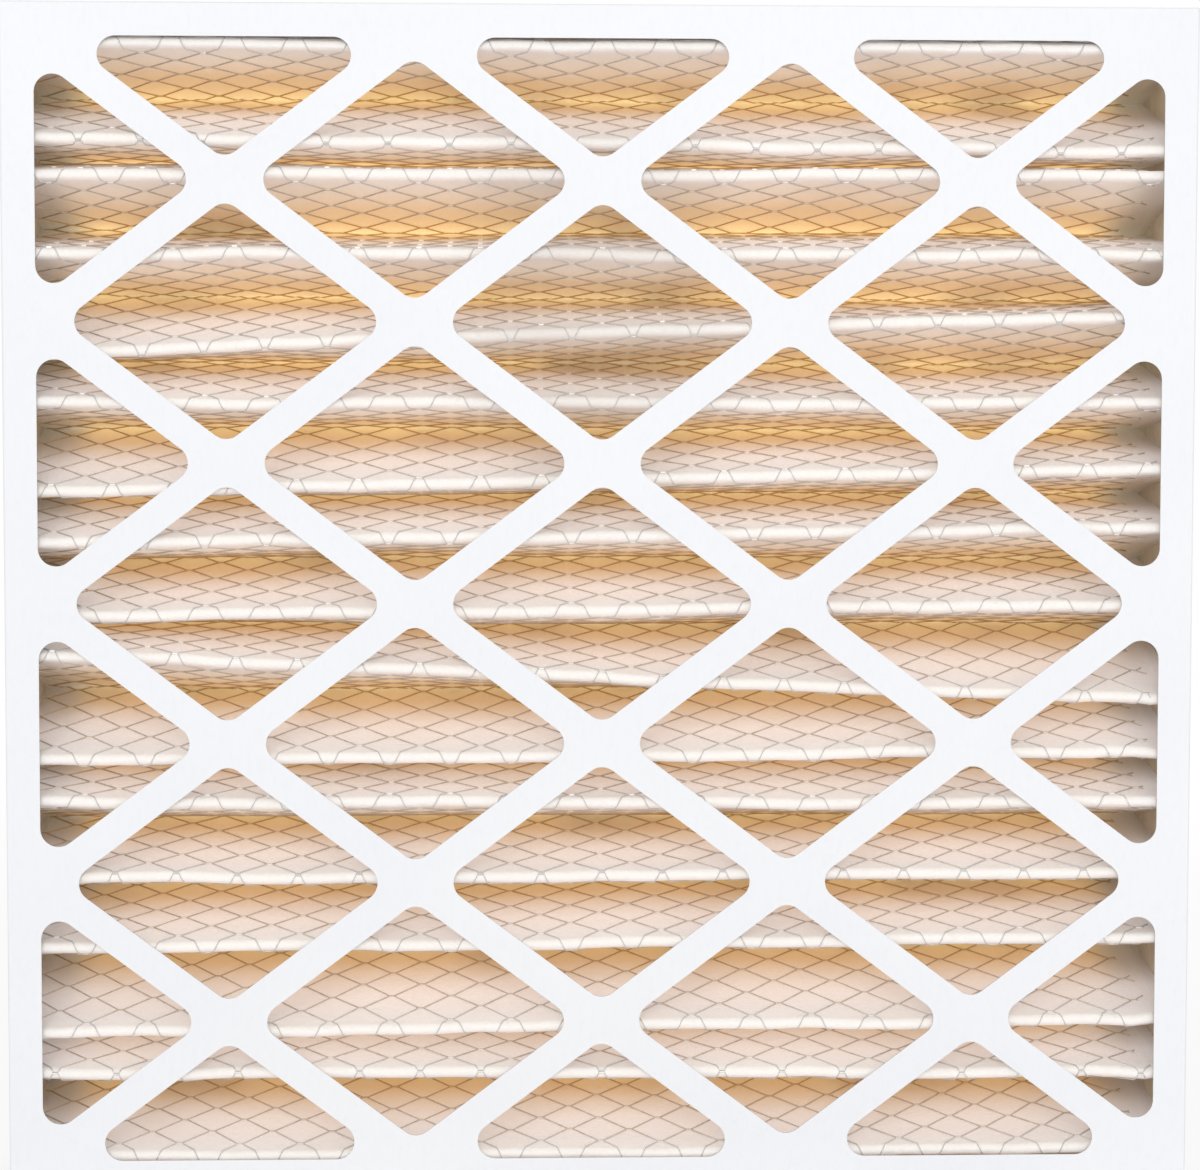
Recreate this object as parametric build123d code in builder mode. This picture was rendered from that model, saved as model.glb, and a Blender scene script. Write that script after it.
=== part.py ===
"""Pleated panel air filter, nominal 20 x 20 x 4 inch, for a ventilation or air handling unit.

A die-cut board tray with a diamond lattice closes the face that the air leaves by. A second,
slightly smaller tray nests inside its flaps and closes the face that the air enters by. Between
them sits a pack of pleated nonwoven media, backed on the leaving side by a sheet of expanded
metal that is folded with it. Adhesive seals the four sides of the pack to the trays.

Frame: X runs across the face, Y through the depth with the air-leaving face towards -Y, and Z is
up. The origin is the middle of the bottom edge. All sizes are in millimetres.
"""

import os
from itertools import pairwise
from math import asin, atan2, cos, degrees, hypot, radians

from build123d import *

os.makedirs("parts", exist_ok=True)

# ---- Panel and trays ----
panel_width = 495.0
panel_height = 495.0
panel_depth = 95.0

board = 0.7  # thickness of the die-cut board
board_fold_radius = 1.0  # outside radius of a scored and folded edge
border = 14.0  # plain rim of a face, around its lattice
strut = 13.0  # width of a lattice strut
opening_radius = 7.5  # rounding of an opening's corners on the leaving face
corner_cut = 6.0  # straight cut across an opening's corners on the entering face
columns = 3  # whole diamonds across the face
rows = 4  # whole diamonds up the face
tab_length = 24.0  # corner tab, glued behind the side flap
tab_relief = 1.0  # from the end of a corner tab to the face board

# ---- Media pack ----
pleat_count = 17
media = 2.0  # thickness of the nonwoven media
nose_radius = 1.8  # of the round that the media's middle surface is creased about at a fold
creases = 4  # a fold turns over this many creases
mesh = 0.4  # thickness of the expanded metal
mesh_columns = 3  # diamonds of the expanded metal across a flank
mesh_strand = 9.0  # metal between two diamonds, and between a diamond and a fold
seal = 1.0  # thickness of the adhesive along the ends of the pleats
bead_length = 24.0  # depth of the adhesive wedge along the first and the last flank

# ---- Clearances ----
lap_gap = 0.1  # between two layers of board
seat_gap = 0.1  # between the pack and what it rests against
mesh_gap = 0.1  # between the media and the expanded metal

# How far each crest stands above its even place, as a share of the pitch, from the top crest
# down. The list is used again from its start where there are more pleats.
crest_lean = (0, -0.4, 0.17, 0.03, -0.11, -0.11, -0.22, -0.02, -0.11, -0.08, -0.22, 0.09, 0.03)
crest_lean += (0.04, -0.2, 0.11, -0.07)

# ---- Sizes that follow ----
opening_width = panel_width - 2 * border
opening_height = panel_height - 2 * border
half_pitch_x = opening_width / (2 * columns)
half_pitch_z = opening_height / (2 * rows)
strut_angle = degrees(atan2(half_pitch_z, half_pitch_x))
strut_length = 2 * hypot(opening_width, opening_height)
outermost_strut = columns + rows - 2

# The inner tray clears the outer tray's corner tabs at its sides, and only the flap above and below.
inner_tray_width = panel_width - 2 * (2 * board + 2 * lap_gap)
inner_tray_height = panel_height - 2 * (board + lap_gap)
inner_tray_depth = panel_depth - board - lap_gap

pack_width = inner_tray_width - 2 * (2 * board + lap_gap) - 2 * (seal + 2 * seat_gap)
pack_height = inner_tray_height - 2 * board
pitch = (pack_height - media - 2 * seat_gap) / pleat_count

face_front = -panel_depth / 2
face_rear = panel_depth / 2
mesh_near = media / 2 + mesh_gap
mesh_far = mesh_near + mesh
corner_reach = 1 / cos(radians(90 / creases))  # of a fold's outermost crease, for a unit radius
crest_centre_y = face_front + board + seat_gap + corner_reach * (nose_radius + mesh_far)
valley_centre_y = face_rear - board - seat_gap - corner_reach * (nose_radius + media / 2)

front_plane = Plane(origin=(0, face_front, panel_height / 2), x_dir=(1, 0, 0), z_dir=(0, -1, 0))
rear_plane = Plane(origin=(0, face_rear, panel_height / 2), x_dir=(-1, 0, 0), z_dir=(0, 1, 0))


# ---- Die-cut trays ----
with BuildSketch() as lattice:
    Rectangle(opening_width, opening_height)
    for slope in (-1, 1):
        for crossing in range(-outermost_strut, outermost_strut + 1, 2):
            with Locations((crossing * half_pitch_x / 2, -slope * crossing * half_pitch_z / 2)):
                Rectangle(strut_length, strut, rotation=slope * strut_angle, mode=Mode.SUBTRACT)

with BuildSketch() as front_openings:
    add(lattice.sketch)
    fillet(front_openings.vertices(), opening_radius)

with BuildSketch() as rear_openings:
    add(lattice.sketch)
    chamfer(rear_openings.vertices(), corner_cut)


def folded_tray(face_plane, width, height, depth, openings):
    """A die-cut blank folded into a tray: a lattice face, four flaps and four corner tabs."""
    slit_x = width / 2 - board - lap_gap / 2
    tab_x = slit_x - (board + lap_gap) / 2
    with BuildPart() as tray:
        with BuildSketch(face_plane):
            Rectangle(width, height)
        extrude(amount=-depth)
        outward = Axis(face_plane.origin, face_plane.z_dir)
        fillet(tray.faces().sort_by(outward)[-1].edges(), board_fold_radius)
        with BuildSketch(face_plane.offset(-board)):
            Rectangle(width - 2 * board, height - 2 * board)
        extrude(amount=board - depth, mode=Mode.SUBTRACT)

        # The side flaps take the whole height, and a slit parts them from the other two.
        with BuildSketch(face_plane.offset(-board)):
            with GridLocations(2 * slit_x, height, 2, 2):
                Rectangle(lap_gap, 2 * board)
        extrude(amount=board - depth, mode=Mode.SUBTRACT)

        # Those other two turn a corner at their ends and are glued behind the side flaps.
        with BuildSketch(face_plane.offset(-board - tab_relief)):
            with GridLocations(2 * tab_x, height - tab_length, 2, 2):
                Rectangle(board, tab_length)
        extrude(amount=board + tab_relief - depth)

        with BuildSketch(face_plane):
            add(openings.sketch)
        extrude(amount=-board, mode=Mode.SUBTRACT)
    return tray.part


with BuildPart() as front_frame:
    add(folded_tray(front_plane, panel_width, panel_height, panel_depth, front_openings))
front_frame.part.label = "front_frame"
export_step(front_frame.part, "parts/front_frame.step")

with BuildPart() as rear_frame:
    inner_size = (inner_tray_width, inner_tray_height, inner_tray_depth)
    add(folded_tray(rear_plane, *inner_size, rear_openings))
rear_frame.part.label = "rear_frame"
export_step(rear_frame.part, "parts/rear_frame.step")


# ---- Pleated pack ----
def fold_axes():
    """Axes of the folds, as (Y, Z), from the top down: a valley, then a crest, then a valley ..."""
    top = (panel_height + pleat_count * pitch) / 2
    axes = [Vector(valley_centre_y, top)]
    for pleat in range(pleat_count):
        lean = crest_lean[pleat % len(crest_lean)]
        axes.append(Vector(crest_centre_y, top - (pleat + 0.5 - lean) * pitch))
        axes.append(Vector(valley_centre_y, top - (pleat + 1) * pitch))
    return axes


def flank_angles(axes):
    """Directions that the flanks' front sides face, in degrees from +Y towards +Z.

    A flank touches the rounds of the two folds that it joins, one on each side.
    """
    angles = []
    for place, (upper, lower) in enumerate(pairwise(axes)):
        above_crest = place % 2 == 0
        inward = upper - lower if above_crest else lower - upper
        slope = degrees(atan2(inward.Y, inward.X))
        swing = degrees(asin(2 * nose_radius / inward.length))
        angles.append(slope + 90 - swing if above_crest else slope + 270 + swing)
    return angles


def sheet_surface(offset):
    """Points of the folded sheet's surface that lies this far in front of its middle surface."""
    axes = fold_axes()
    angles = flank_angles(axes)
    points = []
    for place, axis in enumerate(axes):
        is_crest = place % 2 == 1
        reach = offset + nose_radius if is_crest else offset - nose_radius
        if place in (0, len(angles)):
            points.append(axis + Vector(reach, 0).rotate(Axis.Z, angles[place and -1]))
            continue
        above, below = angles[place - 1], angles[place]
        step = (below - above) / creases
        corner = Vector(reach / cos(radians(step / 2)), 0)
        for crease in range(creases):
            points.append(axis + corner.rotate(Axis.Z, above + (crease + 0.5) * step))
    return points


def folded_sheet(near, far):
    """A folded sheet that lies between two offsets from the pack's middle surface."""
    with BuildPart() as sheet:
        with BuildSketch(Plane.YZ):
            with BuildLine():
                Polyline(*sheet_surface(near), *reversed(sheet_surface(far)), close=True)
            make_face()
        extrude(amount=pack_width / 2, both=True)
    return sheet.part


with BuildPart() as media_pack:
    add(folded_sheet(-media / 2, media / 2))
media_pack.part.label = "media_pack"
export_step(media_pack.part, "parts/media_pack.step")


# ---- Expanded metal ----
# One row of diamonds, cut straight down through every flank.
mesh_pitch = pack_width / mesh_columns
flank_depth = valley_centre_y - crest_centre_y
diamond_x = (mesh_pitch - mesh_strand) / 2
diamond_y = flank_depth / 2 - mesh_strand

with BuildPart() as support_mesh:
    add(folded_sheet(mesh_near, mesh_far))
    with BuildSketch():
        with Locations((0, (crest_centre_y + valley_centre_y) / 2)):
            with GridLocations(mesh_pitch, 0, mesh_columns, 1):
                Polygon((-diamond_x, 0), (0, -diamond_y), (diamond_x, 0), (0, diamond_y))
    extrude(amount=panel_height, mode=Mode.SUBTRACT)
support_mesh.part.label = "support_mesh"
export_step(support_mesh.part, "parts/support_mesh.step")


# ---- Adhesive ----
seal_x = pack_width / 2 + seat_gap + seal / 2
wall_x = inner_tray_width / 2 - board - seat_gap
pad = wall_x - seal_x - seal / 2
seal_depth = panel_depth - 2 * board - 2 * seat_gap


def end_seal(side):
    """Adhesive that the ends of the pleats are set in, spread on a side flap between its tabs."""
    with BuildPart() as adhesive:
        with BuildSketch(front_plane.offset(-board - seat_gap)):
            with Locations((side * seal_x, 0)):
                Rectangle(seal, pack_height - 2 * seat_gap)
            with Locations((side * (wall_x - pad / 2), 0)):
                Rectangle(pad, inner_tray_height - 2 * (tab_length + seat_gap))
        extrude(amount=-seal_depth)
    return adhesive.part


with BuildPart() as left_seal:
    add(end_seal(-1))
left_seal.part.label = "left_seal"
export_step(left_seal.part, "parts/left_seal.step")

with BuildPart() as right_seal:
    add(end_seal(1))
right_seal.part.label = "right_seal"
export_step(right_seal.part, "parts/right_seal.step")


def edge_bead(side):
    """Wedge of adhesive between the wall and the flank beside it, the first (1) or the last (-1)."""
    wall_z = panel_height / 2 + side * (pack_height / 2 - seat_gap)
    surface = sheet_surface(mesh_far + seat_gap)
    valley, crest = surface[:2] if side > 0 else surface[:-3:-1]
    inner = valley + (crest - valley) * (bead_length / (valley.X - crest.X))
    with BuildPart() as adhesive:
        with BuildSketch(Plane.YZ):
            with BuildLine():
                Polyline(valley, inner, (inner.X, wall_z), (valley.X, wall_z), close=True)
            make_face()
        extrude(amount=pack_width / 2, both=True)
    return adhesive.part


with BuildPart() as top_bead:
    add(edge_bead(1))
top_bead.part.label = "top_bead"
export_step(top_bead.part, "parts/top_bead.step")

with BuildPart() as bottom_bead:
    add(edge_bead(-1))
bottom_bead.part.label = "bottom_bead"
export_step(bottom_bead.part, "parts/bottom_bead.step")
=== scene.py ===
import math

import bmesh
import bpy
import numpy as np
from bpy.props import FloatProperty, FloatVectorProperty, IntProperty, PointerProperty
from mathutils import Euler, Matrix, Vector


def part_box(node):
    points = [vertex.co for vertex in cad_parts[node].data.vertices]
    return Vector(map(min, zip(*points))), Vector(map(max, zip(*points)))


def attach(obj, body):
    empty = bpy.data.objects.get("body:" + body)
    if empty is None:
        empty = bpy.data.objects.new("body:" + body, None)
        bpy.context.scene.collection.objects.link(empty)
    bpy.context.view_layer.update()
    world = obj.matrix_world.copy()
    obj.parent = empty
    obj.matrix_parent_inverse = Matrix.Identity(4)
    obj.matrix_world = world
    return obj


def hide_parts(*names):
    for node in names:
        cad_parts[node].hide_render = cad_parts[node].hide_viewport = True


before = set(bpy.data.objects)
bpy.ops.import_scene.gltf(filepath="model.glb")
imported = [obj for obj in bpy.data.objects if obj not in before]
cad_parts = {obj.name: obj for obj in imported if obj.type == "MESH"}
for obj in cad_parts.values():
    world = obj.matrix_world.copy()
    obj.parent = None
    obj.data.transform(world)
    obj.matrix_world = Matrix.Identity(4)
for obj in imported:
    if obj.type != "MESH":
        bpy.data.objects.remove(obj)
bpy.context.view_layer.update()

bl_info = {
    "name": "Pleated Panel Filter",
    "version": (1, 0, 0),
    "blender": (4, 5, 0),
    "location": "View3D > Sidebar > Filter",
    "description": "Dresses a pleated panel air filter: coated board, nonwoven media and expanded metal",
    "category": "Object",
}

PACK_LOW, PACK_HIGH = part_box("media_pack")
TRAY_LOW, TRAY_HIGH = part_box("front_frame")
MIDDLE_Z = (TRAY_LOW[2] + TRAY_HIGH[2]) / 2
PACK_DEPTH = PACK_HIGH[1] - PACK_LOW[1]

# Developed length of one flank of the web, from the middle of a fold to the middle of the next.
FLANK_LENGTH = 0.0926

# How far each crest stands above its even place, as shares of the pitch, at its left and right
# ends, from the top crest down.
CREST_LEAN = (
    (0.0, 0.0),
    (-0.34, -0.46),
    (0.15, 0.19),
    (0.03, 0.03),
    (-0.39, 0.17),
    (-0.12, -0.10),
    (-0.39, -0.05),
    (-0.13, 0.10),
    (-0.19, -0.02),
    (0.26, -0.42),
    (-0.26, -0.17),
    (0.11, 0.07),
    (0.01, 0.05),
    (-0.01, 0.08),
    (-0.26, -0.14),
    (0.15, 0.07),
    (-0.07, -0.07),
)
# Crests that are crumpled towards their right end, and by how much.
CRUMPLED = {9: 1.0, 10: 1.0, 14: 0.8, 15: 1.2}
# The part of a crest's length, from the left, after which it may be crumpled.
CRUMPLE_START = 0.86
# Height, length and shift from crest to crest of each wave of a crumple.
CRUMPLE_WAVES = ((0.0008, 0.0062, 1), (0.0003, 0.0023, 2))

# Unevenness of the web: height, cells along the panel, and seed of the first line.
VALLEY_WANDER = (0.0006, 5, 100)
CREST_SINK = (0.0012, 14, 200)
FLANK_BOW = (0.0011, 6, 300)
FLANK_RIPPLE = (0.00045, 24, 400)
CREST_WAVES = ((0.0007, 9, 500), (0.00035, 28, 600))
# Standard deviation of the media's loose surface, and the seed of it.
FUZZ = (0.00007, 11)

# Distance that the media keeps from the front and the rear of the pack's box.
PACK_INSET = 0.0003
# How much further apart than the height of the pack's box the outermost fold lines are.
PACK_OVERHANG = 0.0014

# Places along a flank, as shares of it, where the media has a row of points: within its first
# fold, and how many between its folds.
FOLD_STEPS = (0.0, 0.009, 0.018, 0.027)
FLANK_ROWS = 8
MEDIA_COLUMNS = 82

# The expanded metal: rows of strands on a flank, half the length of a bond between two of them,
# and the gap between the media and the strands.
ROWS_TO_FLANK = 7.35
HALF_BOND = 0.0011
METAL_GAP = 0.00012
# Distance from the media's left end to the first bond.
METAL_INSET = 0.002
# Share of its width that a strand is moved by where it is bonded, so that the two touch.
BOND_SHIFT = 0.46
# Width of the top of a strand's section, as a share of its foot.
STRAND_TOP = 0.45
# Range of the sheet's ragged cut end, seed of it, and least and largest share of a cut strand.
RAGGED_END = (-0.004, 0.006)
RAGGED_SEED = 5
CUT_STRAND = (0.08, 0.3)
# Places round a fold, in flanks, where a strand that crosses it has points.
FOLD_STOPS = (-0.02, -0.01, 0.0, 0.01, 0.02)

# Painted glow of the media by its depth below the face: emission that stands in for the light that
# reaches it through the web.
GLOW_STOPS = (
    (0.0, (0.06, 0.07, 0.085)),
    (0.06, (0.09, 0.10, 0.115)),
    (0.30, (0.165, 0.19, 0.225)),
    (0.53, (0.155, 0.16, 0.165)),
    (0.74, (0.125, 0.095, 0.055)),
    (1.0, (0.29, 0.25, 0.135)),
)

# Name, place, size and power of each lamp, and the point that they face.
LAMPS = (
    ("key", (-0.9, -6.4, 2.4), 3.2, 156.0),
    ("fill", (1.2, -2.8, 0.2), 1.6, 14.0),
    ("back", (0.3, 2.2, 0.9), 1.6, 23.0),
)
LAMP_AIM = (0.0, 0.0, 0.25)
# Strength of the surroundings as light, and as they look to the camera.
WORLD_LIGHT = 0.545
WORLD_SEEN = 1.0
# Half the width of the floor.
FLOOR_REACH = 6.0
WHITE = (1.0, 1.0, 1.0)
BLACK = (0.0, 0.0, 0.0)


def srgb(red, green, blue):
    """Turns a colour as it looks on a screen, 0 to 255, into the linear values that Blender takes."""
    def linear(value):
        share = value / 255
        return share / 12.92 if share <= 0.04045 else ((share + 0.055) / 1.055) ** 2.4
    return tuple(linear(value) for value in (red, green, blue))


# ---------------------------------------------------------------------------------- settings


class FilterBoardSettings(bpy.types.PropertyGroup):
    """Die-cut board of both trays"""

    coating: FloatVectorProperty(
        name="Coating",
        description="Colour of the coated outer side of the board",
        subtype="COLOR",
        default=srgb(246, 247, 250),
    )
    raw: FloatVectorProperty(
        name="Raw side",
        description="Colour of the uncoated inner side of the board",
        subtype="COLOR",
        default=srgb(188, 182, 175),
    )
    cut: FloatVectorProperty(
        name="Cut edge",
        description="Colour of the board's core where the die has cut it",
        subtype="COLOR",
        default=srgb(176, 170, 162),
    )


class FilterMediaSettings(bpy.types.PropertyGroup):
    """Pleated nonwoven media"""

    pleats: IntProperty(
        name="Pleats",
        description="Number of crests on the leaving side",
        default=len(CREST_LEAN),
        min=1,
    )
    thickness: FloatProperty(
        name="Thickness",
        description="Thickness of the media",
        subtype="DISTANCE",
        unit="LENGTH",
        default=0.002,
    )
    nose_radius: FloatProperty(
        name="Nose radius",
        description="Radius of the media's middle surface at a fold",
        subtype="DISTANCE",
        unit="LENGTH",
        default=0.0013,
    )
    clean: FloatVectorProperty(
        name="Clean",
        description="Colour of the media at the crests",
        subtype="COLOR",
        default=srgb(255, 251, 245),
    )
    # Painted shade half way down a flank.
    half_depth_shade: FloatVectorProperty(
        name="Dusty",
        description="Colour of the media half way down a flank",
        subtype="COLOR",
        default=srgb(249, 241, 239),
    )
    # Painted light: the amber at a valley's bottom stands for the light that comes through the web.
    deep: FloatVectorProperty(
        name="Deep",
        description="Colour of the media near the bottom of a valley",
        subtype="COLOR",
        default=srgb(252, 231, 172),
    )


class FilterMeshSettings(bpy.types.PropertyGroup):
    """Expanded metal on the leaving side of the media"""

    diamond: FloatProperty(
        name="Diamond",
        description="Length of an opening, from bond to bond",
        subtype="DISTANCE",
        unit="LENGTH",
        default=0.0254,
    )
    strand: FloatProperty(
        name="Strand",
        description="Width of a strand",
        subtype="DISTANCE",
        unit="LENGTH",
        default=0.0005,
    )
    gauge: FloatProperty(
        name="Gauge",
        description="Height of a strand above the media",
        subtype="DISTANCE",
        unit="LENGTH",
        default=0.0005,
    )
    short: FloatProperty(
        name="Short end",
        description="Bare media beyond the sheet's cut end at the right",
        subtype="DISTANCE",
        unit="LENGTH",
        default=0.0125,
    )
    zinc: FloatVectorProperty(
        name="Zinc",
        description="Colour of the dulled zinc coat",
        subtype="COLOR",
        default=srgb(206, 194, 182),
    )


class FilterStageSettings(bpy.types.PropertyGroup):
    """Floor, lamps and camera"""

    distance: FloatProperty(
        name="Distance",
        description="Distance of the camera from the leaving face",
        subtype="DISTANCE",
        unit="LENGTH",
        default=1.3,
    )
    offset_x: FloatProperty(
        name="Camera offset",
        description="Camera's place to the right of the panel's middle",
        subtype="DISTANCE",
        unit="LENGTH",
        default=-0.0478,
    )
    height: FloatProperty(
        name="Camera height",
        description="Camera's height above the floor",
        subtype="DISTANCE",
        unit="LENGTH",
        default=0.334,
    )
    turn: FloatVectorProperty(
        name="Camera turn",
        description="Tilt down, roll and turn to the right of the camera",
        subtype="EULER",
        default=(math.radians(3.459), math.radians(0.096), math.radians(2.063)),
    )
    lens: FloatProperty(
        name="Lens",
        description="Focal length on a sensor 36 mm wide",
        default=93.95,
        min=1.0,
    )
    floor: FloatVectorProperty(
        name="Floor",
        description="Colour of the floor",
        subtype="COLOR",
        default=(0.82, 0.82, 0.82),
    )


# ---------------------------------------------------------------------------------- materials


class Socket:
    """An output socket that can stand in a Python expression; each operation adds a Math node."""

    def __init__(self, finish, link):
        self.finish = finish
        self.link = link

    def math(self, operation, *others):
        values = {place + 1: value for place, value in enumerate(others)}
        return self.finish.node("ShaderNodeMath", {"operation": operation}, {0: self, **values})

    def swapped(self, operation, other):
        return self.finish.node("ShaderNodeMath", {"operation": operation}, {0: other, 1: self})

    def __add__(self, other):
        return self.math("ADD", other)

    __radd__ = __add__

    def __sub__(self, other):
        return self.math("SUBTRACT", other)

    def __rsub__(self, other):
        return self.swapped("SUBTRACT", other)

    def __mul__(self, other):
        return self.math("MULTIPLY", other)

    __rmul__ = __mul__

    def __truediv__(self, other):
        return self.math("DIVIDE", other)

    def __rtruediv__(self, other):
        return self.swapped("DIVIDE", other)

    def __abs__(self):
        return self.math("ABSOLUTE")

    def __gt__(self, other):
        return self.math("GREATER_THAN", other)

    def __lt__(self, other):
        return self.math("LESS_THAN", other)

    def ramp(self, low, high):
        """0 at low and below, 1 at high and above, smooth between."""
        settings = {"interpolation_type": "SMOOTHSTEP"}
        return self.finish.node("ShaderNodeMapRange", settings, {0: self, 1: low, 2: high})


class Finish:
    """The nodes of a material or of the world."""

    def __init__(self, owner):
        self.owner = owner
        self.owner.use_nodes = True
        self.tree = self.owner.node_tree
        self.tree.nodes.clear()

    @property
    def place(self):
        """The place on the object."""
        return self.node("ShaderNodeTexCoord", output="Object")

    @property
    def facing(self):
        """The direction that the surface faces."""
        return self.node("ShaderNodeNewGeometry", output="Normal")

    def seen_directly(self):
        """1 for rays that show the background to the camera, straight or by a mirror or glass."""
        seen = self.node("ShaderNodeLightPath", output="Is Camera Ray")
        for kind in ("Is Glossy Ray", "Is Transmission Ray"):
            seen = seen.math("MAXIMUM", self.node("ShaderNodeLightPath", output=kind))
        return seen

    def node(self, kind, settings=None, inputs=None, output=0):
        """Adds a node: its settings first, then the values or links of its sockets.

        Gives one of its outputs, or nothing if it has none.
        """
        node = self.tree.nodes.new(kind)
        for key, value in (settings or {}).items():
            if key == "stops":
                self.set_stops(node.color_ramp, value)
            else:
                setattr(node, key, value)
        for key, value in (inputs or {}).items():
            if isinstance(value, Socket):
                self.tree.links.new(value.link, node.inputs[key])
            else:
                node.inputs[key].default_value = value
        return Socket(self, node.outputs[output]) if node.outputs else None

    def set_stops(self, color_ramp, stops):
        """Gives a colour ramp these (position, colour) stops."""
        while len(color_ramp.elements) < len(stops):
            color_ramp.elements.new(1.0)
        for element, (position, colour) in zip(color_ramp.elements, stops):
            element.position = position
            element.color = (*colour, 1.0)

    def parts(self, vector, axes="XYZ"):
        """The X, Y and Z of a vector, or only some of them."""
        return [self.node("ShaderNodeSeparateXYZ", None, {0: vector}, axis) for axis in axes]

    def stretched(self, *scale):
        """The place on the object, scaled along X, Y and Z."""
        settings = {"operation": "MULTIPLY"}
        return self.node("ShaderNodeVectorMath", settings, {0: self.place, 1: scale})

    def noise(self, scale, detail, roughness=0.55, vector=None):
        """Noise from 0 to 1, with this many cells to a metre."""
        inputs = {
            "Vector": vector or self.place,
            "Scale": scale,
            "Detail": detail,
            "Roughness": roughness,
        }
        return self.node("ShaderNodeTexNoise", None, inputs)

    def mix(self, share, first, second):
        """A colour between two others."""
        inputs = {0: share}
        for key, value in ((6, first), (7, second)):
            inputs[key] = value if isinstance(value, Socket) else (*value, 1.0)
        return self.node("ShaderNodeMix", {"data_type": "RGBA"}, inputs, output=2)

    def by_depth(self, depth, stops):
        """A colour that follows the depth through these (position, colour) stops."""
        return self.node("ShaderNodeValToRGB", {"stops": stops}, {0: depth})

    def mixed_shader(self, share, first, second):
        """A shader between two others."""
        return self.node("ShaderNodeMixShader", None, {0: share, 1: first, 2: second})

    def bump(self, height, distance, strength):
        """A normal bent by this height."""
        inputs = {"Height": height, "Distance": distance, "Strength": strength}
        return self.node("ShaderNodeBump", None, inputs)

    def principled(self, **inputs):
        """The main shader. Underscores in a name stand for blanks."""
        named = {key.replace("_", " "): value for key, value in inputs.items()}
        return self.node("ShaderNodeBsdfPrincipled", None, named)

    def output(self, shader):
        """Ends the material, or the world, in this shader."""
        kind = "World" if isinstance(self.owner, bpy.types.World) else "Material"
        self.node("ShaderNodeOutput" + kind, None, {"Surface": shader})
        return self.owner


def coated_board(settings, name, face_y):
    """White coated board: a raw inner side, a grey cut edge and faint fibres under the coat.

    face_y is the side of Y that the tray's lattice faces, -1 or 1.
    """
    finish = Finish(bpy.data.materials.new(name))
    across, up = finish.parts(finish.place, "XZ")
    facing_x, facing_y, facing_z = finish.parts(finish.facing)
    up = up - MIDDLE_Z
    half = (TRAY_HIGH[0] - TRAY_LOW[0]) / 2
    wall_band = 0.004

    near_rim = abs(across).math("MAXIMUM", abs(up)) > half - wall_band
    outward = facing_x * across + facing_z * up
    inner_wall = near_rim * (outward < -0.1)
    inner_face = (facing_y * face_y) < -0.5
    raw = inner_wall.math("MAXIMUM", inner_face)
    edge = (1 - near_rim) * (abs(facing_y) < 0.5)

    clouds = finish.noise(9, 2)
    fibres = finish.noise(420, 4, 0.7, finish.stretched(1.0, 1.0, 0.35))
    flecks = finish.noise(1500, 2)
    coat = finish.mix(clouds.ramp(0.35, 0.7) * 0.3, settings.coating, srgb(238, 240, 245))
    coat = finish.mix(fibres.ramp(0.45, 0.8) * 0.12, coat, srgb(214, 217, 226))
    raw_colour = finish.mix(fibres.ramp(0.3, 0.7), settings.raw, srgb(206, 200, 192))
    cut_colour = finish.mix(flecks.ramp(0.3, 0.7), settings.cut, srgb(205, 200, 192))
    colour = finish.mix(raw, coat, raw_colour)
    colour = finish.mix(edge, colour, cut_colour)
    roughness = 0.42 + fibres * 0.12 + raw * 0.35
    normal = finish.bump(fibres * 0.6 + flecks * 0.4 + clouds * 3, 0.00006, 0.5)
    shader = finish.principled(
        Base_Color=colour,
        Roughness=roughness.math("MINIMUM", 0.9),
        Normal=normal,
        Specular_IOR_Level=0.4,
    )
    return finish.output(shader)


def web_depth(finish, deep, cloud, face_y):
    """How deep a place of the media lies below its face, from 0 to 1, a little uneven, and deeper still
    on a fold's underside as painted shade.
    """
    if face_y < 0:
        depth = (deep - PACK_LOW[1]) / PACK_DEPTH
    else:
        # The entering side stays paler, as painted light, because the lamps reach further into it.
        depth = (PACK_HIGH[1] - deep) / (PACK_DEPTH * 2)
    depth = depth + (cloud - 0.5) * 0.10
    # Painted shade: the underside of a fold is pushed deeper, because it gets no light but that from the
    # valley below it.
    [facing_z] = finish.parts(finish.facing, "Z")
    return depth + facing_z.ramp(-0.3, -0.8) * 0.45 * (1 - depth)


def shade_patch(across, up):
    """1 in the patch near the middle of the upper half that is painted greyer as shade, 0 outside."""
    patch_x = (across + 0.003) / 0.05
    patch_z = (up - 0.375) / 0.08
    return (patch_x * patch_x + patch_z * patch_z).ramp(2.0, 0.2)


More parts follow.
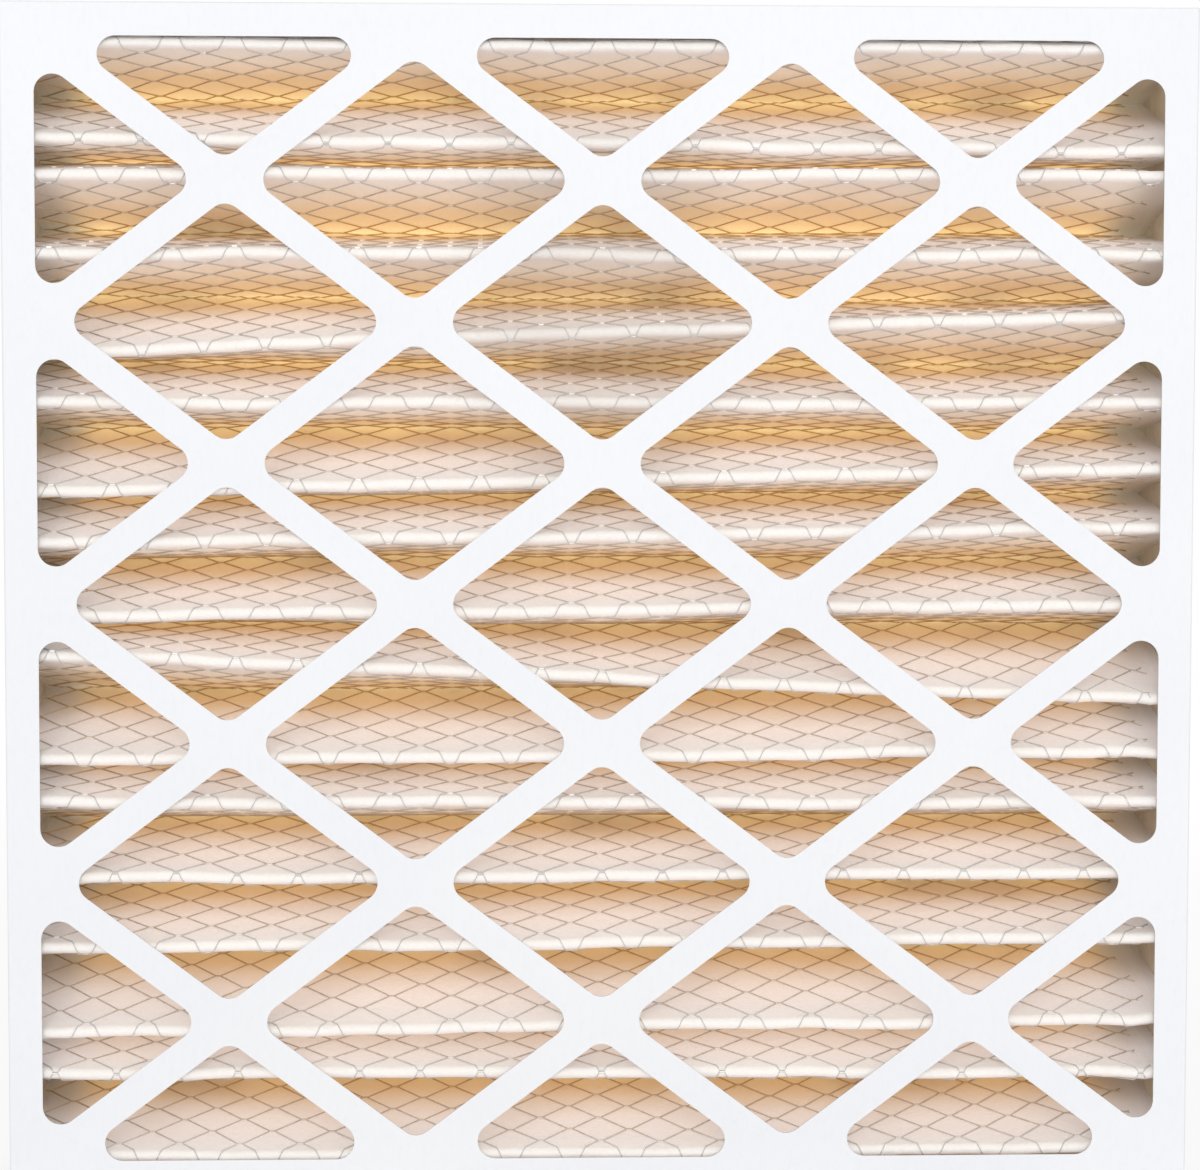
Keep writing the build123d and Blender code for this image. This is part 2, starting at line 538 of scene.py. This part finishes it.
def nonwoven(settings, name, face_y):
    """Lofted nonwoven, with painted light and shade: its colour turns from cream to amber the deeper it
    lies below its face, because light reaches it there only through the web or after many bounces.

    face_y is the side of Y that this side of the media faces, -1 or 1.
    """
    finish = Finish(bpy.data.materials.new(name))
    across, deep, up = finish.parts(finish.place)
    cloud = finish.noise(26, 1)
    tuft = finish.noise(420, 2, 0.65)
    depth = web_depth(finish, deep, cloud, face_y)
    # Painted shadow of the trays' rims greys the ends of the folds and dims their glow; the adhesive has
    # also wicked into these ends.
    rim_shadow_and_soak = abs(across).ramp(PACK_HIGH[0] - 0.026, PACK_HIGH[0] - 0.008)
    rim_shadow_and_soak = rim_shadow_and_soak * depth.ramp(0.25, 0.75)
    # Painted shade: stretches of the valleys are darker than the rest, and so is the lower part of the
    # panel.
    shade = finish.noise(15, 1, 0.4, finish.stretched(1.0, 0.2, 1.6))
    shade = shade.ramp(0.52, 0.7) * depth.ramp(0.45, 0.85)
    low = up.ramp(0.42, 0.22) * depth.ramp(0.6, 0.95)

    # Painted light and shade by depth: cream at the crests, a little darker half way down, and amber
    # deep in the valleys, where light comes only through the web.
    stops = (
        (0.0, settings.clean),
        (0.05, srgb(254, 250, 245)),
        (0.14, srgb(250, 246, 245)),
        (0.48, settings.half_depth_shade),
        (0.64, srgb(248, 230, 210)),
        (0.79, srgb(246, 212, 158)),
        (1.0, settings.deep),
    )
    colour = finish.by_depth(depth, stops)
    colour = finish.mix(tuft.ramp(0.55, 0.8) * 0.15, colour, srgb(214, 186, 158))
    # Painted shade: a greyer patch near the middle of the upper half.
    colour = finish.mix(shade_patch(across, up) * 0.4 * cloud, colour, srgb(176, 160, 142))
    # Painted rim shadow, and adhesive, grey the ends of the folds.
    colour = finish.mix(rim_shadow_and_soak, colour, srgb(204, 194, 186))
    # Painted shade along the darker stretches of the valleys.
    colour = finish.mix(shade * 0.25, colour, srgb(214, 186, 152))

    # Painted light: emission by depth in place of the light that comes through the web.
    glow = finish.by_depth(depth, GLOW_STOPS)
    glow = finish.mix(rim_shadow_and_soak * 0.65, glow, BLACK)
    # Painted shade: the glow is dimmed towards the bottom of the panel and along the darker stretches.
    glow = finish.mix(low * 0.75, glow, (0.05, 0.03, 0.01))
    glow = finish.mix(shade * 0.7, glow, (0.02, 0.012, 0.005))
    # The glow is too weak for it to be worth sampling as a lamp.
    finish.owner.cycles.emission_sampling = "NONE"

    surface = finish.principled(
        Base_Color=colour,
        Roughness=0.92,
        Normal=finish.bump(tuft, 0.0005, 0.8),
        Specular_IOR_Level=0.1,
        Emission_Color=glow,
        Emission_Strength=1.0,
    )
    web = {"Color": (*srgb(255, 248, 238), 1.0)}
    through = finish.node("ShaderNodeBsdfTranslucent", None, web)
    # The folds lie double, so less light comes through them than through the flanks.
    share = 0.12 + depth.ramp(0.0, 0.3) * 0.23
    return finish.output(finish.mixed_shader(share, surface, through))


def dull_zinc(settings):
    """Galvanised strand, painted lighter over the crests and browner further down, as light and shade by
    depth.
    """
    finish = Finish(bpy.data.materials.new("dull_zinc"))
    [deep] = finish.parts(finish.place, "Y")
    depth = (deep - PACK_LOW[1]) / PACK_DEPTH
    spots = finish.noise(300, 2)
    colour = finish.mix(spots.ramp(0.35, 0.7) * 0.5, settings.zinc, srgb(224, 216, 206))
    # Painted light and shade by depth: lighter near the crests, browner deep in the valleys.
    colour = finish.mix(depth.ramp(0.03, 0.22), srgb(218, 215, 212), colour)
    colour = finish.mix(depth.ramp(0.4, 0.9), colour, srgb(206, 176, 130))
    shader = finish.principled(
        Base_Color=colour,
        Metallic=0.3 + spots.ramp(0.6, 0.3) * 0.3,
        Roughness=0.36 + spots * 0.2,
        Normal=finish.bump(spots, 0.00003, 0.6),
    )
    return finish.output(shader)


def cured_adhesive():
    """Pale amber hot melt with a skin that has set in ripples."""
    finish = Finish(bpy.data.materials.new("cured_adhesive"))
    ripples = finish.noise(90, 4, 0.6)
    colour = finish.mix(ripples.ramp(0.3, 0.7), srgb(224, 206, 188), srgb(240, 226, 208))
    shader = finish.principled(
        Base_Color=colour,
        Roughness=0.38 + ripples * 0.2,
        Normal=finish.bump(ripples, 0.0008, 0.8),
        Subsurface_Weight=0.15,
    )
    return finish.output(shader)


# ---------------------------------------------------------------------------------- geometry


def smooth_noise(count, cells, seed):
    """Smooth random values from -1 to 1 along a line of this many samples."""
    values = np.random.default_rng(seed).uniform(-1.0, 1.0, cells + 3)
    where = np.linspace(0.0, cells, count)
    left = where.astype(int)
    share = where - left
    share = share * share * (3 - 2 * share)
    return values[left] * (1 - share) + values[left + 1] * share


def uneven(kind, index, count):
    """A line of one kind of the web's unevenness, in metres."""
    height, cells, seed = kind
    return height * smooth_noise(count, cells, seed + index)


class PleatedSurface:
    """The middle surface of the folded web, and the surfaces that lie at an offset from it.

    A place on it is given by X across the panel and by q, which counts flanks from the top: it is
    a whole number at the middle of each fold, even at valleys and odd at crests.
    """

    samples = 487

    def __init__(self, settings):
        self.radius = settings.nose_radius
        self.folds = 2 * settings.pleats + 1
        self.low_x, self.high_x = PACK_LOW[0], PACK_HIGH[0]
        self.pitch = (PACK_HIGH[2] - PACK_LOW[2] + PACK_OVERHANG) / settings.pleats
        self.place_folds(settings)
        flanks, count = range(self.folds - 1), self.samples
        self.bow = np.array([uneven(FLANK_BOW, flank, count) for flank in flanks])
        self.ripple = np.array([uneven(FLANK_RIPPLE, flank, count) for flank in flanks])

    def place_folds(self, settings):
        """Finds the line that each fold turns about, in Y and Z along the panel."""
        reach = self.radius + settings.thickness / 2
        crest_y = PACK_LOW[1] + reach + PACK_INSET
        valley_y = PACK_HIGH[1] - reach - PACK_INSET
        sink_depth, sink_cells, sink_seed = CREST_SINK
        self.axis_y = np.empty((self.folds, self.samples))
        self.axis_z = np.empty((self.folds, self.samples))
        top = MIDDLE_Z + self.pitch * settings.pleats / 2
        for fold in range(self.folds):
            even = top - fold * self.pitch / 2
            if fold % 2 == 0:
                self.axis_z[fold] = even + uneven(VALLEY_WANDER, fold, self.samples)
                self.axis_y[fold] = valley_y
            else:
                self.axis_z[fold] = even + self.crest_wander(fold // 2)
                sink = 0.5 + 0.5 * smooth_noise(self.samples, sink_cells, sink_seed + fold)
                self.axis_y[fold] = crest_y + sink_depth * sink
        self.axis_z[0] = top
        self.axis_z[-1] = top - (self.folds - 1) * self.pitch / 2

    def crest_wander(self, crest):
        """How far a crest's line stands above its even place along its length."""
        share = np.linspace(0.0, 1.0, self.samples)
        left, right = CREST_LEAN[crest % len(CREST_LEAN)]
        line = (left + (right - left) * share) * self.pitch
        wave = sum(uneven(kind, crest, self.samples) for kind in CREST_WAVES)
        ended = np.clip((share - CRUMPLE_START) / (1 - CRUMPLE_START), 0.0, 1.0)
        crumple = CRUMPLED.get(crest, 0.0) * ended
        run = (1 - share) * (self.high_x - self.low_x)
        for height, length, shift in CRUMPLE_WAVES:
            wave += crumple * height * np.sin(run / length + shift * crest)
        return line + wave

    def at(self, table, fold, x):
        """A value of a fold or flank, between its samples along X."""
        where = (x - self.low_x) / (self.high_x - self.low_x) * (self.samples - 1)
        where = np.clip(where, 0, self.samples - 1.001)
        left = where.astype(int)
        share = where - left
        return table[fold, left] * (1 - share) + table[fold, left + 1] * share

    def flank_angle(self, flank, x):
        """Direction that a flank's front side faces, in radians from +Y towards +Z."""
        above_crest = flank % 2 == 0
        crest = np.where(above_crest, flank + 1, flank)
        valley = np.where(above_crest, flank, flank + 1)
        run_y = self.at(self.axis_y, valley, x) - self.at(self.axis_y, crest, x)
        run_z = self.at(self.axis_z, valley, x) - self.at(self.axis_z, crest, x)
        slope = np.arctan2(run_z, run_y)
        swing = np.arcsin(2 * self.radius / np.hypot(run_y, run_z))
        return np.where(above_crest, slope + np.pi / 2 - swing, slope - np.pi / 2 + swing)

    def points(self, x, q, offset):
        """Points of the surface at this offset towards the front, as an array of X, Y, Z."""
        x, q, offset = np.broadcast_arrays(np.asarray(x, float), q, offset)
        last = self.folds - 2
        flank = np.clip(np.floor(q).astype(int), 0, last)
        u = q - flank
        angle = self.flank_angle(flank, x)
        above = self.flank_angle(np.maximum(flank - 1, 0), x)
        below = self.flank_angle(np.minimum(flank + 1, last), x)
        above = np.where(flank == 0, angle, above)
        below = np.where(flank == last, angle, below)
        # The front of a crest faces -Y, at an angle of half a turn, and so does a valley's.
        angle, above, below = (np.mod(a, 2 * np.pi) for a in (angle, above, below))
        start_middle = (above + angle) / 2
        end_middle = (angle + below) / 2

        start_y = self.at(self.axis_y, flank, x)
        start_z = self.at(self.axis_z, flank, x)
        end_y = self.at(self.axis_y, flank + 1, x)
        end_z = self.at(self.axis_z, flank + 1, x)
        straight = np.hypot(end_y - start_y, end_z - start_z)
        start_arc = self.radius * np.abs(angle - start_middle)
        end_arc = self.radius * np.abs(end_middle - angle)
        along = u * (start_arc + straight + end_arc)

        in_start = along < start_arc
        in_end = along > start_arc + straight
        start_share = np.where(start_arc > 0, along / np.maximum(start_arc, 1e-9), 1.0)
        end_share = (along - start_arc - straight) / np.maximum(end_arc, 1e-9)
        facing = np.where(in_start, start_middle + (angle - start_middle) * start_share, angle)
        facing = np.where(in_end, angle + (end_middle - angle) * end_share, facing)

        share = np.clip((along - start_arc) / straight, 0.0, 1.0)
        hump = np.sin(np.pi * share)
        ripple = self.at(self.ripple, flank, x) * np.sin(2 * np.pi * share)
        lift = offset + self.at(self.bow, flank, x) * hump + ripple * hump
        start_is_crest = flank % 2 == 1
        start_reach = np.where(start_is_crest, self.radius, -self.radius)
        reach = lift + start_reach * (1 - share) - start_reach * share
        y = start_y + (end_y - start_y) * share + np.cos(facing) * reach
        z = start_z + (end_z - start_z) * share + np.sin(facing) * reach
        return np.stack([x, y, z], axis=-1)


def mesh_object(name, points, faces, smooth=True):
    """A mesh object that stands at the frame's origin, in the scene's collection."""
    mesh = bpy.data.meshes.new(name)
    mesh.from_pydata(points.reshape(-1, 3).tolist(), [], faces)
    mesh.update()
    mesh.polygons.foreach_set("use_smooth", [smooth] * len(mesh.polygons))
    piece = bpy.data.objects.new(name, mesh)
    bpy.context.scene.collection.objects.link(piece)
    return piece


def grid_faces(rows, columns, first, flipped=False):
    """Quads of a grid of points, row by row, the first of which has this index."""
    row, column = np.meshgrid(np.arange(rows - 1), np.arange(columns - 1), indexing="ij")
    corner = first + row * columns + column
    quads = np.stack([corner, corner + 1, corner + columns + 1, corner + columns], axis=-1)
    quads = quads.reshape(-1, 4)
    return (quads[:, ::-1] if flipped else quads).tolist()


def band_faces(front, rear):
    """Quads between two lines of points with the same count."""
    return [
        [front[i], front[i + 1], rear[i + 1], rear[i]]
        for i in range(len(front) - 1)
    ]


def make_media(settings):
    """The folded web as a closed sheet with two sides and a rim.

    Gives its surface, the piece, and how many of its faces are on the leaving side.
    """
    surface = PleatedSurface(settings)
    columns = MEDIA_COLUMNS
    x = np.linspace(surface.low_x, surface.high_x, columns)
    fold_steps = np.array(FOLD_STEPS)
    flank_steps = np.linspace(0.03, 0.97, FLANK_ROWS + 2)[1:-1]
    steps = np.concatenate([fold_steps, flank_steps, 1 - fold_steps[:0:-1]])
    q = np.concatenate([flank + steps for flank in range(surface.folds - 1)])
    q = np.append(q, surface.folds - 1)
    grid_x, grid_q = np.meshgrid(x, q)
    spread, seed = FUZZ
    fuzz = np.random.default_rng(seed).normal(0.0, spread, grid_q.shape)
    half = settings.thickness / 2
    front = surface.points(grid_x, grid_q, half + fuzz)
    rear = surface.points(grid_x, grid_q, -half + fuzz)
    rows = len(q)
    count = rows * columns
    points = np.concatenate([front.reshape(-1, 3), rear.reshape(-1, 3)])
    faces = grid_faces(rows, columns, 0, True) + grid_faces(rows, columns, count)
    index = np.arange(count).reshape(rows, columns)
    for line in (index[0], index[:, -1], index[-1, ::-1], index[::-1, 0]):
        line = line.tolist()
        faces += band_faces(line, [i + count for i in line])
    front_count = (rows - 1) * (columns - 1)
    return surface, mesh_object("pleated_media", points, faces), front_count


def strand_section(settings):
    """Corners of a strand's section: across the strand, and above the media."""
    foot, top = settings.strand / 2, settings.strand / 2 * STRAND_TOP
    return ((-foot, 0.0), (foot, 0.0), (top, settings.gauge), (-top, settings.gauge))


def strand_line(row, posts, q_step, settings, surface):
    """The zigzag of one strand from bond to bond, in X and q.

    Gives both, and 1 if the strand's last bond is with the row below it, or 0.
    """
    half_long = settings.diamond / 2
    side_step = settings.strand * BOND_SHIFT / FLANK_LENGTH
    xs, qs = [], []
    for post in range(posts + 1):
        lowered = (post + row) % 2
        level = (row + lowered) * q_step + (-side_step if lowered else side_step)
        centre = surface.low_x + METAL_INSET + post * half_long
        xs += [centre - HALF_BOND, centre + HALF_BOND]
        qs += [level, level]
    return xs, qs, lowered


def make_expanded_metal(settings, media, surface):
    """Zigzag strands that follow the folds and touch their neighbours at the bonds."""
    half_long = settings.diamond / 2
    row_count = int((surface.folds - 1) * ROWS_TO_FLANK)
    q_step = (surface.folds - 1) / row_count
    cut_x = surface.high_x - settings.short
    posts = int((cut_x - surface.low_x) / half_long)
    clear = media.thickness / 2 + METAL_GAP
    section = strand_section(settings)
    chooser = np.random.default_rng(RAGGED_SEED)
    all_points, faces = [], []
    first = 0
    for row in range(row_count):
        xs, qs, lowered = strand_line(row, posts, q_step, settings, surface)
        tail = cut_x + chooser.uniform(*RAGGED_END)
        share = np.clip((tail - xs[-1]) / half_long, *CUT_STRAND)
        xs.append(xs[-1] + share * half_long)
        qs.append(qs[-1] + (-q_step if lowered else q_step) * share)
        line_x, line_q = refined(np.array(xs), np.array(qs))
        line_q = np.clip(line_q, 0.0, surface.folds - 1.0)
        rings = strand_rings(surface, line_x, line_q, section, clear)
        count = len(line_x)
        all_points.append(rings.reshape(-1, 3))
        faces += tube_faces(first, count, len(section))
        first += count * len(section)
    return mesh_object("expanded_metal", np.concatenate(all_points), faces, smooth=False)


def refined(xs, qs):
    """Adds points where a line passes round a fold, so that it follows the fold's curve."""
    near_fold, near_end = 0.03, 0.002
    out_x, out_q = [xs[0]], [qs[0]]
    for x0, q0, x1, q1 in zip(xs, qs, xs[1:], qs[1:]):
        low, high = min(q0, q1), max(q0, q1)
        fold = round((low + high) / 2)
        crosses = low - near_fold < fold < high + near_fold
        if crosses and high - low > 1e-6:
            stops = fold + np.array(FOLD_STOPS)
            stops = stops[(stops > low + near_end) & (stops < high - near_end)]
            if q1 < q0:
                stops = stops[::-1]
            for stop in stops:
                out_x.append(x0 + (x1 - x0) * (stop - q0) / (q1 - q0))
                out_q.append(stop)
        out_x.append(x1)
        out_q.append(q1)
    return np.array(out_x), np.array(out_q)


def strand_rings(surface, x, q, section, clear):
    """Section corners at each point of a strand, across its run and above the media."""
    run_x = np.gradient(x)
    run_s = np.gradient(q) * FLANK_LENGTH
    length = np.hypot(run_x, run_s)
    across_x, across_s = -run_s / length, run_x / length
    rings = []
    for side, height in section:
        side_x, side_q = x + across_x * side, q + across_s * side / FLANK_LENGTH
        rings.append(surface.points(side_x, side_q, clear + height))
    return np.stack(rings, axis=1)


def tube_faces(first, count, corners):
    """Quads of a tube of rings, and a face over each end."""
    faces = []
    for ring in range(count - 1):
        base = first + ring * corners
        for corner in range(corners):
            near, far = base + corner, base + (corner + 1) % corners
            faces.append([near, far, far + corners, near + corners])
    faces.append([first + corner for corner in reversed(range(corners))])
    faces.append([first + (count - 1) * corners + corner for corner in range(corners)])
    return faces


def face_outwards(piece):
    """Turns the faces of a closed piece outwards."""
    shape = bmesh.new()
    shape.from_mesh(piece.data)
    bmesh.ops.recalc_face_normals(shape, faces=shape.faces)
    shape.to_mesh(piece.data)
    shape.free()


# ---------------------------------------------------------------------------------- operators


class FILTER_OT_board(bpy.types.Operator):
    """Finishes both die-cut trays in coated board"""

    bl_idname = "filter.board"
    bl_label = "Finish the Board Trays"

    def execute(self, context):
        settings = context.scene.filter_board
        for node, face_y in (("front_frame", -1.0), ("rear_frame", 1.0)):
            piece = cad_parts[node]
            paint(piece, coated_board(settings, node + "_board", face_y))
        return {"FINISHED"}


class FILTER_OT_media(bpy.types.Operator):
    """Makes the pleated media and the expanded metal that is folded with it"""

    bl_idname = "filter.media"
    bl_label = "Make the Pleated Media"

    def execute(self, context):
        settings = context.scene.filter_media
        surface, media, front_count = make_media(settings)
        face_outwards(media)
        paint(media, nonwoven(settings, "nonwoven_front", -1.0))
        media.data.materials.append(nonwoven(settings, "nonwoven_rear", 1.0))
        sides = [0] * front_count + [1] * (len(media.data.polygons) - front_count)
        media.data.polygons.foreach_set("material_index", sides)
        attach(media, "root")
        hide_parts("media_pack")

        metal_settings = context.scene.filter_mesh
        metal = make_expanded_metal(metal_settings, settings, surface)
        face_outwards(metal)
        paint(metal, dull_zinc(metal_settings))
        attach(metal, "root")
        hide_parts("support_mesh")
        return {"FINISHED"}


class FILTER_OT_adhesive(bpy.types.Operator):
    """Finishes the adhesive that seals the pack to the trays"""

    bl_idname = "filter.adhesive"
    bl_label = "Finish the Adhesive"

    def execute(self, context):
        material = cured_adhesive()
        for node in ("left_seal", "right_seal", "top_bead", "bottom_bead"):
            paint(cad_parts[node], material)
        return {"FINISHED"}


class FILTER_OT_stage(bpy.types.Operator):
    """Sets up the floor, the lamps and the camera"""

    bl_idname = "filter.stage"
    bl_label = "Set Up the Stage"

    def execute(self, context):
        settings = context.scene.filter_stage
        make_floor(settings)
        make_world()
        for lamp in LAMPS:
            add_lamp(*lamp)
        add_camera(settings)
        context.scene.view_settings.view_transform = "Standard"
        return {"FINISHED"}


def paint(piece, material):
    """Gives a piece one material."""
    piece.data.materials.clear()
    piece.data.materials.append(material)


def make_floor(settings):
    """A plain pale floor that shows white to the camera's rays where nothing shades it."""
    corners = ((-1, -1, 0), (1, -1, 0), (1, 1, 0), (-1, 1, 0))
    points = np.array(corners) * FLOOR_REACH
    floor = mesh_object("floor", points, [[0, 1, 2, 3]], smooth=False)
    finish = Finish(bpy.data.materials.new("pale_floor"))
    grain = finish.noise(40, 3)
    colour = finish.mix(grain * 0.3, settings.floor, (0.86, 0.86, 0.86))
    lit = finish.principled(Base_Color=colour, Roughness=0.7 + grain * 0.1)
    white = finish.node("ShaderNodeEmission", None, {"Color": (*WHITE, 1.0)})
    away = finish.node("ShaderNodeVectorMath", {"operation": "LENGTH"}, {0: finish.place}, "Value")
    share = finish.seen_directly() * (0.8 + away.ramp(0.7, 2.2) * 0.2)
    finish.owner.cycles.emission_sampling = "NONE"
    paint(floor, finish.output(finish.mixed_shader(share, lit, white)))


def make_world():
    """Plain white surroundings: a soft light on the object, and full white to the camera."""
    world = bpy.data.worlds.new("studio")
    bpy.context.scene.world = world
    finish = Finish(world)
    soft, plain = (
        finish.node("ShaderNodeBackground", None, {"Color": (*WHITE, 1.0), "Strength": strength})
        for strength in (WORLD_LIGHT, WORLD_SEEN)
    )
    finish.output(finish.mixed_shader(finish.seen_directly(), soft, plain))


def add_lamp(name, place, size, power):
    """A square area lamp that faces the point that they all face."""
    lamp = bpy.data.lights.new(name, "AREA")
    lamp.size = size
    lamp.energy = power
    holder = bpy.data.objects.new(name, lamp)
    holder.location = place
    x, y, z = (there - aim for aim, there in zip(LAMP_AIM, place))
    holder.rotation_euler = (math.atan2(math.hypot(x, y), z), 0.0, math.atan2(x, -y))
    bpy.context.scene.collection.objects.link(holder)


def add_camera(settings):
    """A long lens a little above the panel's middle, turned slightly down and to the right."""
    camera = bpy.data.cameras.new("camera")
    camera.sensor_width = 36.0
    camera.lens = settings.lens
    holder = bpy.data.objects.new("camera", camera)
    holder.location = (settings.offset_x, TRAY_LOW[1] - settings.distance, settings.height)
    down, roll, right = settings.turn
    turn = Euler((math.pi / 2 - down, 0.0, -right)).to_matrix() @ Euler((0.0, 0.0, roll)).to_matrix()
    holder.rotation_euler = turn.to_euler()
    bpy.context.scene.collection.objects.link(holder)
    bpy.context.scene.camera = holder


# ---------------------------------------------------------------------------------- panel


class FILTER_PT_panel(bpy.types.Panel):
    """Lists the filter's settings and operators"""

    bl_idname = "FILTER_PT_panel"
    bl_label = "Pleated Panel Filter"
    bl_space_type = "VIEW_3D"
    bl_region_type = "UI"
    bl_category = "Filter"

    def draw(self, context):
        for group in SETTINGS:
            settings = getattr(context.scene, group)
            box = self.layout.box()
            for name in settings.__annotations__:
                box.prop(settings, name)
        for operator in OPERATORS:
            self.layout.operator(operator.bl_idname)


SETTINGS = {
    "filter_board": FilterBoardSettings,
    "filter_media": FilterMediaSettings,
    "filter_mesh": FilterMeshSettings,
    "filter_stage": FilterStageSettings,
}
OPERATORS = (FILTER_OT_board, FILTER_OT_media, FILTER_OT_adhesive, FILTER_OT_stage)


def register():
    """Registers the classes and hangs the settings on the scene."""
    for name, group in SETTINGS.items():
        bpy.utils.register_class(group)
        setattr(bpy.types.Scene, name, PointerProperty(type=group))
    for operator in OPERATORS:
        bpy.utils.register_class(operator)
    bpy.utils.register_class(FILTER_PT_panel)


def unregister():
    """Takes back what register did."""
    bpy.utils.unregister_class(FILTER_PT_panel)
    for operator in reversed(OPERATORS):
        bpy.utils.unregister_class(operator)
    for name, group in SETTINGS.items():
        delattr(bpy.types.Scene, name)
        bpy.utils.unregister_class(group)


def main():
    """Builds everything in order."""
    register()
    for operator in OPERATORS:
        group, name = operator.bl_idname.split(".")
        getattr(getattr(bpy.ops, group), name)()


if __name__ == "__main__":
    main()
